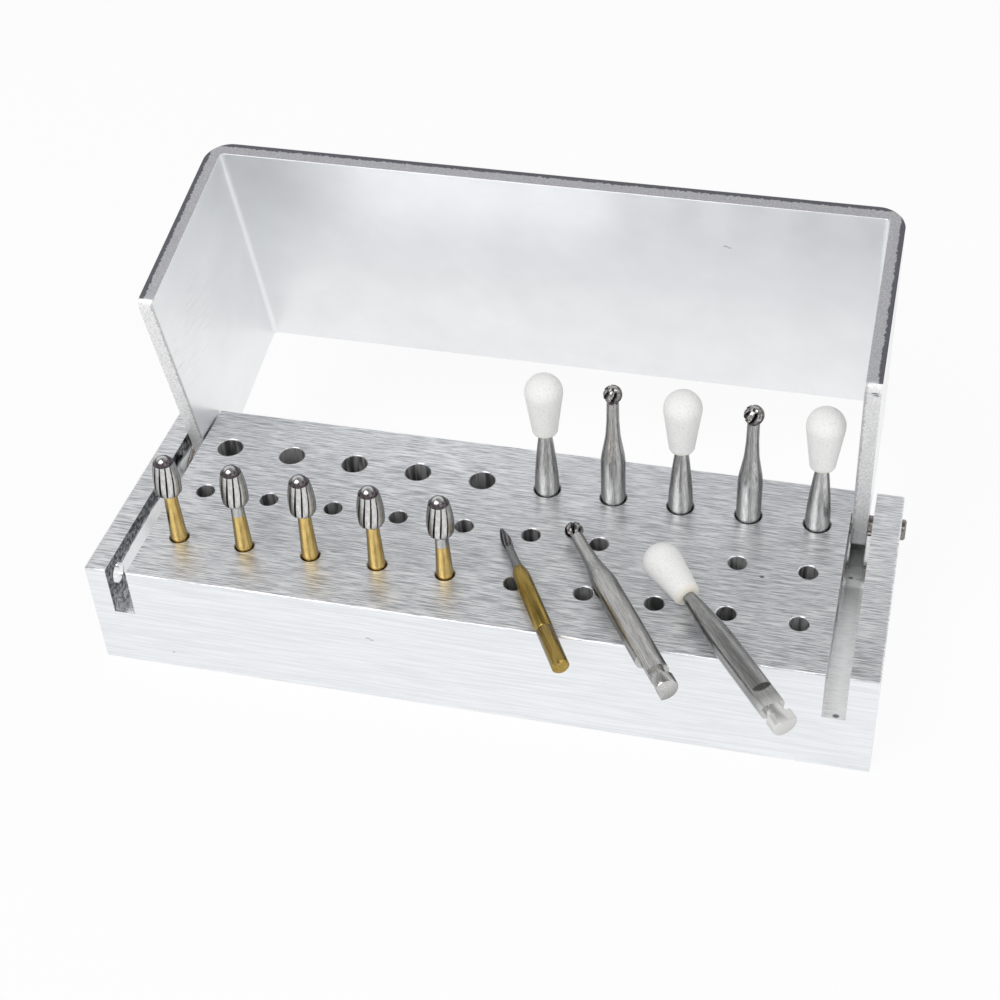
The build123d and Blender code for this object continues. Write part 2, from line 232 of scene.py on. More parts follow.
def mixed(tree, factor, first, second, blend="MIX"):
    """A colour mixed from two."""
    made = shader_node(tree, "ShaderNodeMix", data_type="RGBA", blend_type=blend)
    for index, value in ((0, factor), (6, first), (7, second)):
        if isinstance(value, bpy.types.NodeSocket):
            tree.links.new(value, made.inputs[index])
        else:
            made.inputs[index].default_value = value if index == 0 else (*value[:3], 1.0)
    return made.outputs[2]


def new_group(name, inputs, outputs):
    """An empty shader group with named float, vector and colour sockets."""
    group = bpy.data.node_groups.new(name, "ShaderNodeTree")
    kinds = {"float": "NodeSocketFloat", "vector": "NodeSocketVector", "colour": "NodeSocketColor"}
    for label, kind, default in inputs:
        made = group.interface.new_socket(name=label, in_out="INPUT", socket_type=kinds[kind])
        if default is not None:
            made.default_value = default
    for label, kind in outputs:
        group.interface.new_socket(name=label, in_out="OUTPUT", socket_type=kinds[kind])
    return group, group.nodes.new("NodeGroupInput"), group.nodes.new("NodeGroupOutput")


def placed_group(tree, name, inputs):
    """One use of a shader group in a material."""
    made = tree.nodes.new("ShaderNodeGroup")
    made.node_tree = bpy.data.node_groups[name]
    for label, value in inputs.items():
        if isinstance(value, bpy.types.NodeSocket):
            tree.links.new(value, made.inputs[label])
        else:
            made.inputs[label].default_value = value
    return made.outputs


def new_material(name, **constants):
    """A material with one Principled shader whose constant sockets are set, and its tree."""
    material = bpy.data.materials.new(name)
    material.use_nodes = True
    tree = material.node_tree
    shader = tree.nodes["Principled BSDF"]
    for label, value in constants.items():
        shader.inputs[label.replace("_", " ")].default_value = value
    return material, tree, shader


def object_space(tree, scale=(1.0, 1.0, 1.0), turn=(0.0, 0.0, 0.0), shift=(0.0, 0.0, 0.0)):
    """Object coordinates through a mapping, in millimetres at scale 1."""
    where = shader_node(tree, "ShaderNodeTexCoord").outputs["Object"]
    sizes = [value / MM for value in scale]
    return shader_node(tree, "ShaderNodeMapping", {
        "Vector": where, "Scale": sizes, "Rotation": [radians(a) for a in turn], "Location": shift}).outputs[0]


def build_brushed_group():
    """Hairlines along the first axis of the vector: even lines, soft bands, bright and dark dashes."""
    group, inside, outside = new_group("Brushed streaks", [
        ("Vector", "vector", None), ("Line length", "float", 3.0), ("Line width", "float", 0.14)],
        [("Streak", "float"), ("Band", "float"), ("Dash", "float"), ("Scratch", "float")])
    axes = shader_node(group, "ShaderNodeSeparateXYZ", {0: inside.outputs["Vector"]})
    along = maths(group, "DIVIDE", axes.outputs[0], inside.outputs["Line length"])

    def lines(width_factor, length_factor, detail, slide):
        across = maths(group, "MULTIPLY", inside.outputs["Line width"], width_factor)
        second = maths(group, "DIVIDE", axes.outputs[1], across)
        third = maths(group, "DIVIDE", axes.outputs[2], across)
        first = maths(group, "MULTIPLY_ADD", along, 1 / length_factor, slide)
        spot = shader_node(group, "ShaderNodeCombineXYZ", {0: first, 1: second, 2: third})
        return shader_node(group, "ShaderNodeTexNoise", {
            "Vector": spot.outputs[0], "Scale": 1.0, "Detail": detail, "Roughness": 0.6}).outputs[0]

    group.links.new(lines(1.0, 1.0, 3.0, 0.0), outside.inputs["Streak"])
    group.links.new(lines(7.0, 1.6, 3.0, 17.3), outside.inputs["Band"])
    group.links.new(mapped(group, lines(0.9, 0.8, 2.0, 41.7), 0.57, 0.64), outside.inputs["Dash"])
    group.links.new(mapped(group, lines(0.9, 0.9, 2.0, 77.1), 0.59, 0.66), outside.inputs["Scratch"])


def build_grain_group():
    """Fine even grain with a few larger clouds, for satin, stone and plating."""
    group, inside, outside = new_group("Fine grain", [
        ("Vector", "vector", None), ("Grain size", "float", 0.12), ("Cloud size", "float", 2.5)],
        [("Grain", "float"), ("Cloud", "float")])
    for label, output, detail in (("Grain size", "Grain", 2.0), ("Cloud size", "Cloud", 3.0)):
        scale = maths(group, "DIVIDE", 1.0, inside.outputs[label])
        noise = shader_node(group, "ShaderNodeTexNoise", {
            "Vector": inside.outputs["Vector"], "Scale": scale, "Detail": detail, "Roughness": 0.55})
        group.links.new(noise.outputs[0], outside.inputs[output])


def build_spot_group():
    """A soft-edged ellipsoid mask at a place, for one nick, dot, rub or painted highlight."""
    group, inside, outside = new_group("Spot", [
        ("Vector", "vector", None), ("Centre", "vector", None), ("Size", "vector", None)], [("Mask", "float")])
    away = shader_node(group, "ShaderNodeVectorMath", {
        0: inside.outputs["Vector"], 1: inside.outputs["Centre"]}, operation="SUBTRACT").outputs[0]
    away = shader_node(group, "ShaderNodeVectorMath", {
        0: away, 1: inside.outputs["Size"]}, operation="DIVIDE").outputs[0]
    reach = shader_node(group, "ShaderNodeVectorMath", {0: away}, operation="LENGTH").outputs["Value"]
    group.links.new(mapped(group, reach, 0.55, 1.0, 1.0, 0.0), outside.inputs["Mask"])


def spotted(tree, where, base, spots):
    """A colour with small marks on it, from (centre, size, colour, strength) in millimetres."""
    for centre, size, colour, strength in spots:
        mask = placed_group(tree, "Spot", {"Vector": where, "Centre": centre, "Size": size})["Mask"]
        base = mixed(tree, times(tree, mask, strength), base, colour)
    return base


def base_of(shader):
    """The colour that already feeds a shader."""
    return shader.inputs["Base Color"].links[0].from_socket


def bump(tree, height, strength, distance):
    """A Bump node's normal; the distance is in metres."""
    return shader_node(tree, "ShaderNodeBump", {
        "Height": height, "Strength": strength, "Distance": distance}).outputs[0]


def brushed_alloy(name, colour, line_width, line_length, roughness, contrast, anisotropy, relief=0.8):
    """Brushed aluminium whose hairlines run along X."""
    material, tree, shader = new_material(name, Metallic=1.0, Anisotropic=anisotropy, Anisotropic_Rotation=0.25)
    where = object_space(tree)
    marks = placed_group(tree, "Brushed streaks", {
        "Vector": where, "Line length": line_length, "Line width": line_width})
    tone = maths(tree, "ADD", times(tree, marks["Streak"], 0.94),
                 times(tree, marks["Band"], 0.06))
    low = tuple(c * (1 - contrast) for c in colour)
    high = tuple(min(1.0, c * (1 + contrast)) for c in colour)
    base = ramp(tree, tone, [(0.4, low), (0.5, colour), (0.6, high)])
    base = mixed(tree, times(tree, marks["Scratch"], 1.6 * contrast), base, low)
    base = mixed(tree, times(tree, marks["Dash"], 2.4 * contrast), base, (0.95, 0.96, 0.97))
    tree.links.new(base, shader.inputs["Base Color"])
    rough = mapped(tree, marks["Streak"], 0.3, 0.7, roughness * 0.8, roughness * 1.2)
    tree.links.new(rough, shader.inputs["Roughness"])
    tree.links.new(bump(tree, marks["Streak"], relief, 0.03 * MM), shader.inputs["Normal"])
    tangent = shader_node(tree, "ShaderNodeTangent", direction_type="UV_MAP", uv_map="Grain")
    tree.links.new(tangent.outputs[0], shader.inputs["Tangent"])
    return material, tree, shader


def make_block_materials():
    """Brushed faces, milled slots and drilled sockets."""
    chosen = settings().block
    deck, tree, shader = brushed_alloy("Brushed deck", chosen.deck_colour, 0.12, 2.6, 0.42, 0.38, 0.6)
    marked = spotted(tree, object_space(tree), base_of(shader), DECK_NICKS)
    tree.links.new(marked, shader.inputs["Base Color"])
    sides, tree, shader = brushed_alloy("Brushed sides", chosen.side_colour, 0.16, 6.0, 0.42, 0.06, 0.4)
    marked = spotted(tree, object_space(tree), base_of(shader), FRONT_NICKS)
    tree.links.new(marked, shader.inputs["Base Color"])
    floor, tree, shader = brushed_alloy("Slot floor", SLOT_SHINE, 0.16, 1.6, 0.16, 0.12, 0.3, 0.2)
    where = object_space(tree)
    # Painted shade and reflection along the slot floor: darker towards the middle, and bright from about y = 4.6
    # mm back, where the floor mirrors the lid's leg
    along = mapped(tree, axes_of(tree, where)[1], BLOCK_FRONT, BLOCK_BACK)
    base = mixed(tree, 1.0, base_of(shader), ramp(tree, along, [
        (0.0, 0.95), (0.3, 0.8), (0.62, 0.55), (0.67, 0.6), (0.69, 1.0), (1.0, 0.95)]), "MULTIPLY")
    tree.links.new(spotted(tree, where, base, SLOT_DARK_MARKS), shader.inputs["Base Color"])
    slots, tree, shader = brushed_alloy("Milled slots", *MILLED)
    # Slot walls facing +X: painted shade near the top, where the wall mirrors the shaded wall across the slot,
    # and a darker front end; lower down, the shading normal leans to WALL_LEAN so that the wall mirrors the sky
    darkened_wall, tree, shader = brushed_alloy("Wall with painted shade", *MILLED)
    where = object_space(tree)
    grain = placed_group(tree, "Fine grain", {"Vector": where, "Grain size": 0.4, "Cloud size": 5.0})
    axes = axes_of(tree, where)
    painted_dark = mapped(tree, maths(tree, "MULTIPLY_ADD", grain["Cloud"], 0.8, axes[2]), DECK - 1.5, DECK - 1.0)
    # The wall is also painted darker towards its front end
    torn = mapped(tree, maths(tree, "MULTIPLY_ADD", grain["Grain"], 0.8, axes[1]),
                  FRONT_HOLE_Y + 1.3, FRONT_HOLE_Y + 1.6, 1.0, 0.0)
    painted_dark = maths(tree, "MAXIMUM", painted_dark, torn)
    painted_dark_colour = ramp(tree, grain["Grain"], [(0.4, (0.1, 0.11, 0.12)), (0.6, (0.6, 0.62, 0.64))])
    tree.links.new(mixed(tree, painted_dark, base_of(shader), painted_dark_colour), shader.inputs["Base Color"])
    relief = shader.inputs["Normal"].links[0].from_socket
    leaning = shader_node(tree, "ShaderNodeMix", {0: painted_dark, 5: relief}, data_type="VECTOR")
    leaning.inputs[4].default_value = WALL_LEAN
    tree.links.new(leaning.outputs[1], shader.inputs["Normal"])
    drilled, tree, shader = new_material("Drilled socket", Metallic=0.75, Roughness=0.38)
    where = object_space(tree, scale=(1, 1, 0.12))
    grain = placed_group(tree, "Fine grain", {"Vector": where, "Grain size": 0.5, "Cloud size": 3.0})
    tree.links.new(ramp(tree, grain["Grain"], [(0.4, 0.22), (0.6, 0.85)]), shader.inputs["Base Color"])
    return [deck, sides, slots, drilled, darkened_wall, floor]


def make_lid_material():
    """Satin sheet with two-zone sheared edges, fine rubs and soft clouds."""
    chosen = settings().lid
    material, tree, shader = new_material("Satin sheet", Metallic=0.85)
    level = object_space(tree, turn=(OPEN_ANGLE, 0, 0), shift=hinge_shift())
    grain = placed_group(tree, "Fine grain", {"Vector": level, "Grain size": 0.14, "Cloud size": 6.0})
    face = ramp(tree, grain["Cloud"], [(0.3, tuple(0.94 * c for c in chosen.colour)), (0.7, chosen.colour)])
    face = mixed(tree, times(tree, grain["Grain"], 0.05), face, (0.6, 0.61, 0.63))
    axes = axes_of(tree, level)

    rub_cos = cos(radians(RUB_ANGLE))
    rub_sin = sin(radians(RUB_ANGLE))
    along = maths(tree, "MULTIPLY_ADD", axes[1], rub_cos,
                  times(tree, axes[2], rub_sin))
    across = maths(tree, "MULTIPLY_ADD", axes[2], rub_cos,
                   times(tree, axes[1], -rub_sin))
    turned = shader_node(tree, "ShaderNodeCombineXYZ", {0: along, 1: across, 2: axes[0]}).outputs[0]
    rubs = placed_group(tree, "Brushed streaks", {"Vector": turned, "Line length": 4.0, "Line width": 0.14})
    zone = placed_group(tree, "Spot", {"Vector": level, "Centre": RUB_CENTRE, "Size": RUB_SIZE})["Mask"]
    for label, share, colour in (("Scratch", 0.3, (0.5, 0.5, 0.52)), ("Dash", 0.5, (0.98, 0.98, 0.98))):
        amount = times(tree, zone, times(tree, rubs[label], share))
        face = mixed(tree, amount, face, colour)
    face = spotted(tree, level, face, PLATE_MARKS)

    side = maths(tree, "SUBTRACT", maths(tree, "ABSOLUTE", axes[0]), LID_INNER)
    depth = maths(tree, "DIVIDE", maths(tree, "MAXIMUM", side, maths(
        tree, "SUBTRACT", axes[2], LID_PLATE_INNER)), SHEET)
    inner = maths(tree, "GREATER_THAN", depth, 0.02)
    outer = maths(tree, "LESS_THAN", depth, 0.98)
    ahead = maths(tree, "LESS_THAN", axes[1], 0.05 - LID_AHEAD)
    fold = times(tree, maths(tree, "GREATER_THAN", side, -FOLD_REACH), maths(
        tree, "GREATER_THAN", axes[2], LID_PLATE_INNER - FOLD_REACH))
    sheet_edge = maths(tree, "MAXIMUM", ahead, maths(tree, "SUBTRACT", 1.0, fold))
    edge = times(tree, times(tree, inner, outer), sheet_edge)
    ragged = placed_group(tree, "Fine grain", {"Vector": level, "Grain size": 0.3, "Cloud size": 0.9})
    wander = maths(tree, "MULTIPLY_ADD", ragged["Grain"], 0.35, times(tree, ragged["Cloud"], 0.2))
    ragged_depth = maths(tree, "ADD", depth, wander)
    sheared = mapped(tree, ragged_depth, 0.92, 0.98)
    torn = mapped(tree, ragged_depth, 0.4, 0.46)
    speckle = ramp(tree, grain["Grain"], [(0.4, 0.8), (0.6, 1.0)])
    dark_edge = mixed(tree, sheared, (0.66, 0.66, 0.69), (0.2, 0.2, 0.23))
    pale_edge = mixed(tree, torn, (0.7, 0.7, 0.72), (0.98, 0.98, 0.98))
    edge_colour = mixed(tree, 1.0, mixed(tree, ahead, pale_edge, dark_edge), speckle, "MULTIPLY")
    edge_colour = spotted(tree, level, edge_colour, EDGE_NICKS)
    tree.links.new(mixed(tree, edge, face, edge_colour), shader.inputs["Base Color"])
    rough = maths(tree, "MULTIPLY_ADD", edge, 0.3, maths(
        tree, "MULTIPLY_ADD", grain["Grain"], 0.03, chosen.roughness - 0.015))
    tree.links.new(rough, shader.inputs["Roughness"])
    tree.links.new(bump(tree, grain["Grain"], 0.02, 0.01 * MM), shader.inputs["Normal"])
    return material


def hinge_shift():
    """What a mapping adds after its turn so that the hinge line is the origin, in millimetres."""
    angle = radians(OPEN_ANGLE)
    y = PIN_Y * cos(angle) - PIN_Z * sin(angle)
    z = PIN_Y * sin(angle) + PIN_Z * cos(angle)
    return (0.0, -y, -z)


def own_space(tree, scale=(1.0, 1.0, 1.0)):
    """A turned piece's own coordinates in millimetres, with its tip at zero."""
    where = shader_node(tree, "ShaderNodeAttribute", attribute_name="own").outputs["Vector"]
    return shader_node(tree, "ShaderNodeMapping", {"Vector": where, "Scale": scale}).outputs[0]


def polished_metal(name, dark, light, roughness, rim=1.0, grain_size=0.2, stretch=0.12, marks=()):
    """Turned metal with lines along its axis and marks or painted highlights on it, with painted shade darkening
    it towards its silhouette by the rim factor.
    """
    material, tree, shader = new_material(name, Metallic=1.0)
    where = own_space(tree, (1, 1, stretch))
    grain = placed_group(tree, "Fine grain", {"Vector": where, "Grain size": grain_size, "Cloud size": 1.5})
    base = ramp(tree, grain["Grain"], [(0.32, dark), (0.68, light)])
    base = spotted(tree, own_space(tree), base, marks)
    # Painted shade: the colour darkens towards the silhouette by the rim factor
    shade_by_facing = shader_node(tree, "ShaderNodeLayerWeight", {"Blend": 0.5}).outputs["Facing"]
    base = mixed(tree, 1.0, base, ramp(tree, shade_by_facing, [(0.3, 1.0), (0.75, rim)]), "MULTIPLY")
    tree.links.new(base, shader.inputs["Base Color"])
    rough = maths(tree, "MULTIPLY_ADD", grain["Cloud"], 0.1, roughness - 0.05)
    tree.links.new(rough, shader.inputs["Roughness"])
    tree.links.new(bump(tree, grain["Grain"], 0.15, 0.01 * MM), shader.inputs["Normal"])
    return material


def make_stone_material():
    """Matte white bonded stone with fine grains, ivory at its glued foot."""
    material, tree, shader = new_material("White stone", Metallic=0.0, Roughness=0.9)
    where = own_space(tree)
    grain = placed_group(tree, "Fine grain", {"Vector": where, "Grain size": 0.16, "Cloud size": 1.8})
    white = ramp(tree, grain["Grain"], [(0.3, (0.82, 0.81, 0.79)), (0.55, (0.92, 0.92, 0.91))])
    foot = mapped(tree, maths(tree, "MULTIPLY_ADD", grain["Cloud"], 0.5, axes_of(tree, where)[2]),
                  0.4 - STONE_LENGTH, 0.65 - STONE_LENGTH, 1.0, 0.0)
    tree.links.new(mixed(tree, foot, white, (0.82, 0.79, 0.7)), shader.inputs["Base Color"])
    tree.links.new(bump(tree, grain["Grain"], 0.5, 0.03 * MM), shader.inputs["Normal"])
    return material


# Mesh helpers
def lathe(profile, steps=64):
    """A bmesh turned about Z from (radius, height) points, in millimetres."""
    bm = bmesh.new()
    verts = [bm.verts.new((x, 0.0, z)) for x, z in profile]
    edges = [bm.edges.new(pair) for pair in zip(verts, verts[1:])]
    bmesh.ops.spin(bm, geom=verts + edges, cent=(0, 0, 0), axis=(0, 0, 1), angle=2 * pi,
                   steps=steps, use_merge=True, use_duplicate=False)
    bmesh.ops.remove_doubles(bm, verts=bm.verts, dist=1e-4)
    bmesh.ops.recalc_face_normals(bm, faces=bm.faces)
    return bm


def arc(centre, radius, start, end, count):
    """Points along an arc in the profile plane, angles in degrees from the radius axis."""
    return [(centre[0] + radius * cos(radians(start + (end - start) * i / count)),
             centre[1] + radius * sin(radians(start + (end - start) * i / count))) for i in range(count + 1)]


def box_mesh(low, high):
    """A bmesh box between two corners, in millimetres."""
    bm = bmesh.new()
    bmesh.ops.create_cube(bm, size=1.0)
    size = [b - a for a, b in zip(low, high)]
    middle = [(a + b) / 2 for a, b in zip(low, high)]
    bmesh.ops.scale(bm, vec=size, verts=bm.verts)
    bmesh.ops.translate(bm, vec=middle, verts=bm.verts)
    return bm


def moved(bm, matrix):
    """The same bmesh after a move."""
    bmesh.ops.transform(bm, matrix=matrix, verts=bm.verts)
    return bm


def joined(parts):
    """Several bmeshes in one."""
    whole = parts[0]
    for part in parts[1:]:
        scrap = bpy.data.meshes.new("scrap")
        part.to_mesh(scrap)
        part.free()
        whole.from_mesh(scrap)
        bpy.data.meshes.remove(scrap)
    return whole


def loose_object(name, bm):
    """An object for a bmesh, in its own units."""
    mesh = bpy.data.meshes.new(name)
    bm.to_mesh(mesh)
    bm.free()
    made = bpy.data.objects.new(name, mesh)
    bpy.context.scene.collection.objects.link(made)
    return made


def carved(body, cutters):
    """The bmesh body with each cutter taken out of it."""
    shape = loose_object("shape", body)
    tools = [loose_object("cutter", cutter) for cutter in cutters]
    for tool in tools:
        cut = shape.modifiers.new("cut", "BOOLEAN")
        cut.object = tool
        cut.operation = "DIFFERENCE"
        cut.solver = "EXACT"
    ready = shape.evaluated_get(bpy.context.evaluated_depsgraph_get())
    bm = bmesh.new()
    bm.from_mesh(bpy.data.meshes.new_from_object(ready))
    for spent in (shape, *tools):
        bpy.data.objects.remove(spent)
    return bm


def soften(bm, limit=32.0):
    """Shade a bmesh smooth, with edges sharper than the limit kept crisp."""
    for face in bm.faces:
        face.smooth = True
    for edge in bm.edges:
        flat = len(edge.link_faces) == 2 and edge.calc_face_angle(0.0) < radians(limit)
        edge.smooth = flat


def lay_grain(bm, along_axis):
    """A UV map whose first direction runs along the grain."""
    layer = bm.loops.layers.uv.new("Grain")
    for face in bm.faces:
        normal = face.normal
        steepest = max(range(3), key=lambda i: abs(normal[i]))
        first, second = [(1, 2), (0, 2), (0, 1)][steepest]
        if along_axis == 1 and steepest == 2:
            first, second = 1, 0
        for loop in face.loops:
            loop[layer].uv = (loop.vert.co[first], loop.vert.co[second])


def finished(name, bm, materials, body, slot, nodes, limit=32.0):
    """Make the shown piece from a bmesh in millimetres, standing for its CAD nodes."""
    bmesh.ops.scale(bm, vec=(MM, MM, MM), verts=bm.verts)
    soften(bm, limit)
    piece = loose_object(name, bm)
    for material in materials:
        piece.data.materials.append(material)
    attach(piece, body)
    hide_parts(*nodes)
    return piece


def cad_copy(node):
    """A merged copy of a CAD node's mesh, in millimetres."""
    bm = bmesh.new()
    bm.from_mesh(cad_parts[node].data)
    bmesh.ops.scale(bm, vec=(1 / MM,) * 3, verts=bm.verts)
    bmesh.ops.remove_doubles(bm, verts=bm.verts, dist=1e-3)
    return bm


# Block pieces
def socket_cutter(radius, depth, x, y):
    """A drill with a small countersink at the deck."""
    sink = settings().block.rim / MM
    floor = DECK - depth
    profile = [(0, floor), (radius, floor), (radius, DECK - sink), (radius + sink, DECK),
               (radius + sink, DECK + 1), (0, DECK + 1)]
    return moved(lathe(profile, 48), Matrix.Translation((x, y, 0)))


def cross_cutter(radius, y, x_from, x_to):
    """A cylinder along X at the hinge line's height."""
    length = abs(x_to - x_from)
    turn = Matrix.Translation((min(x_from, x_to), y, PIN_Z)) @ Matrix.Rotation(pi / 2, 4, "Y")
    return moved(lathe([(0, 0), (radius, 0), (radius, length), (0, length)], 40), turn)


def sort_block_faces(bm):
    """Deck, sides, slots and sockets each get their own material index."""
    for face in bm.faces:
        middle = face.calc_center_median()
        normal = face.normal
        in_slot = SLOT_INNER - 0.01 < abs(middle.x) < SLOT_OUTER_RIGHT + 0.01 and middle.z < DECK - 0.01
        in_deck = abs(middle.x) < SLOT_INNER - 0.2 and abs(middle.y) < 9.5 and 2.0 < middle.z < DECK - 0.2
        in_hole = abs(middle.x) > SLOT_OUTER_LEFT - 0.01 and abs(normal.x) < 0.1 and sqrt(
            (middle.y - FRONT_HOLE_Y) ** 2 + (middle.z - PIN_Z) ** 2) < FRONT_HOLE_RADIUS + 0.05
        if in_slot:
            face.material_index = 4 if normal.x > 0.5 else 5 if normal.z > 0.5 else 2
        elif in_hole:
            face.material_index = 2
        elif in_deck:
            face.material_index = 3
        elif normal.z > 0.5:
            face.material_index = 0
        else:
            face.material_index = 1


class BURBLOCK_OT_block(Operator):
    """Machine the block with its sockets, slots and cross holes"""
    bl_idname = "burblock.block"
    bl_label = "Block"

    def execute(self, context):
        body = box_mesh((BLOCK_LEFT, BLOCK_FRONT, 0), (BLOCK_RIGHT, BLOCK_BACK, DECK))
        bmesh.ops.bevel(body, geom=body.edges[:], offset=settings().block.edge / MM, segments=3,
                        profile=0.5, affect="EDGES", material=-1)
        slots = [box_mesh((low, BLOCK_FRONT - 1, SLOT_FLOOR), (high, BLOCK_BACK + 1, DECK + 1))
                 for low, high in ((-SLOT_OUTER_LEFT, -SLOT_INNER), (SLOT_INNER, SLOT_OUTER_RIGHT))]
        rows = ((LATCH_SOCKET_RADIUS, LATCH_SOCKET_DEPTH, ROW_BACK),
                (GRIP_SOCKET_RADIUS, GRIP_SOCKET_DEPTH, ROW_MIDDLE),
                (GRIP_SOCKET_RADIUS, GRIP_SOCKET_DEPTH, ROW_FRONT))
        drills = [socket_cutter(radius, depth, column_x(column), y)
                  for radius, depth, y in rows for column in range(COLUMNS)]
        pins = [cross_cutter(PIN_RADIUS, PIN_Y, -PIN_INNER_END, BLOCK_LEFT - 1),
                cross_cutter(PIN_RADIUS, PIN_Y, PIN_INNER_END, BLOCK_RIGHT + 1)]
        holes = [cross_cutter(FRONT_HOLE_RADIUS, FRONT_HOLE_Y, -SLOT_INNER - 1, BLOCK_LEFT - 1),
                 cross_cutter(FRONT_HOLE_RADIUS, FRONT_HOLE_Y, SLOT_INNER + 1, BLOCK_RIGHT + 1)]
        block = carved(body, [joined(slots), joined(drills), joined(pins), joined(holes)])
        sort_block_faces(block)
        lay_grain(block, 0)
        finished("block", block, make_block_materials(), "block", "block", ["bur_block"])
        return {"FINISHED"}


class BURBLOCK_OT_lid(Operator):
    """Make the folded sheet lid from its CAD shape and soften its sheared edges"""
    bl_idname = "burblock.lid"
    bl_label = "Lid"

    def execute(self, context):
        bm = cad_copy("lid")
        bmesh.ops.dissolve_limit(bm, angle_limit=radians(0.5), verts=bm.verts, edges=bm.edges)
        lid = finished("folded_lid", bm, [make_lid_material()], "lid", "lid", ["lid"])
        edges = lid.modifiers.new("Softened edges", "BEVEL")
        edges.limit_method = "ANGLE"
        edges.angle_limit = radians(50)
        edges.width = settings().lid.edge
        edges.segments = 2
        normals = lid.modifiers.new("Flat faces stay flat", "WEIGHTED_NORMAL")
        normals.keep_sharp = True
        normals.weight = 100
        return {"FINISHED"}


class BURBLOCK_OT_pins(Operator):
    """Press in the two hinge pins"""
    bl_idname = "burblock.pins"
    bl_label = "Hinge pins"

    def execute(self, context):
        metal = polished_metal("Pin steel", (0.2, 0.18, 0.17), (0.34, 0.31, 0.29), 0.25, 0.6)
        for side, node in ((-1, "hinge_pin_left"), (1, "hinge_pin_right")):
            low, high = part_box(node)
            length = (high.x - low.x) / MM
            nose = 0.15
            profile = [(0, 0), (PIN_RADIUS - nose, 0), (PIN_RADIUS, nose), (PIN_RADIUS, length - nose),
                       (PIN_RADIUS - nose, length), (0, length)]
            turn = Matrix.Translation((low.x / MM, PIN_Y, PIN_Z)) @ Matrix.Rotation(pi / 2, 4, "Y")
            pin = moved(remember(lathe(profile), length), turn)
            finished(f"pin_{node[10:]}", pin, [metal], "block", "pin", [node])
        return {"FINISHED"}


# Bur pieces, each standing on the middle of its shank's end face
def standing(column, row, depth):
    """Where a bur in a socket of this depth stands."""
    return Matrix.Translation((column_x(column), row, DECK - depth))


def lying(end, rise, heading, climb=0.0, roll=0.0):
    """Where a bur that lies on the deck is."""
    return (Matrix.Translation((end[0], end[1], DECK + rise)) @ Matrix.Rotation(radians(heading), 4, "Z")
            @ Matrix.Rotation(radians(90 - climb), 4, "Y") @ Matrix.Rotation(radians(180 + roll), 4, "Z"))


def wind(bm, flutes, phases, lands, twist, pull):
    """Turn a lathe's columns to the flutes' phases and twist, pull each point in, and mark the lands."""
    count = len(phases)
    steps = flutes * count
    on_land = bm.verts.layers.int.new("land")
    for vert in bm.verts:
        x, y, z = vert.co
        radius = sqrt(x * x + y * y)
        if radius < 1e-4:
            continue
        index, place = divmod(round(atan2(y, x) / (2 * pi) * steps) % steps, count)
        cut, height = pull(radius, z, place)
        turn = 2 * pi * (index + phases[place]) / flutes + twist * z
        vert.co = (cut * cos(turn), cut * sin(turn), height)
        vert[on_land] = lands(radius, z, place)
    for face in bm.faces:
        face.material_index = min(vert[on_land] for vert in face.verts)


def dense(profile, step=0.12):
    """The same profile with its long runs divided."""
    points = [profile[0]]
    for (x0, z0), (x1, z1) in zip(profile, profile[1:]):
        count = max(1, int(sqrt((x1 - x0) ** 2 + (z1 - z0) ** 2) / step))
        points += [(x0 + (x1 - x0) * i / count, z0 + (z1 - z0) * i / count) for i in range(1, count + 1)]
    return points


def finishing_head(length):
    """Egg-shaped head with twelve flutes under a smooth cap, on its bare neck."""
    cap = 0.9
    widest = 1.27
    side_radius = 10.22
    belly_drop = 3.2
    cap_drop = 0.66
    root = 0.89
    bottom = length - FINISHING_HEAD_LENGTH
    side_x = widest - side_radius
    crown = arc((0, length - cap), cap, 90, 17, 10)
    sides = []
    for i in range(45):
        drop = cap_drop + (belly_drop - cap_drop) * i / 44
        sides.append((side_x + sqrt(side_radius ** 2 - (belly_drop - drop) ** 2), length - drop))
    foot = [(1.255, length - 3.55), (1.22, length - 3.85), (1.17, length - 4.05), (1.1, length - 4.15),
            (GRIP_NECK_RADIUS, length - 4.28)]
    neck = [(0.61, length - 4.6), (GRIP_FOOT_RADIUS, bottom), (0, bottom)]
    bm = lathe(crown + sides + foot + neck, 8 * 12)
    limits = (9.0, root, root + 0.01, root + 0.17, 9.0, 9.0, 9.0, 9.0)
    slopes = (0.0, 0.0, 0.0, 0.0, 0.06, 0.045, 0.03, 0.015)

    def pull(radius, height, place):
        if height < length - 4.2:
            return radius, height
        slope = slopes[place] * min(1.0, max(0.0, (radius - root) / 0.2))
        return min(radius - slope, limits[place]), height

    def lands(radius, height, place):
        if height < length - 4.2:
            return 2
        if radius <= root:
            return 0
        return 3 if place == 0 or place > 3 else 1

    wind(bm, 12, (0.0, 0.02, 0.09, 0.2, 0.27, 0.45, 0.63, 0.82), lands, 0.083, pull)
    return bm


def finishing_shank(length):
    """Plated shank that tapers up to the neck."""
    top = length - FINISHING_HEAD_LENGTH
    return lathe([(0, 0), (GRIP_RADIUS - 0.15, 0), (GRIP_RADIUS, 0.15), (GRIP_RADIUS, GRIP_SOCKET_DEPTH + 0.3),
                  (GRIP_FOOT_RADIUS, top), (0, top)])


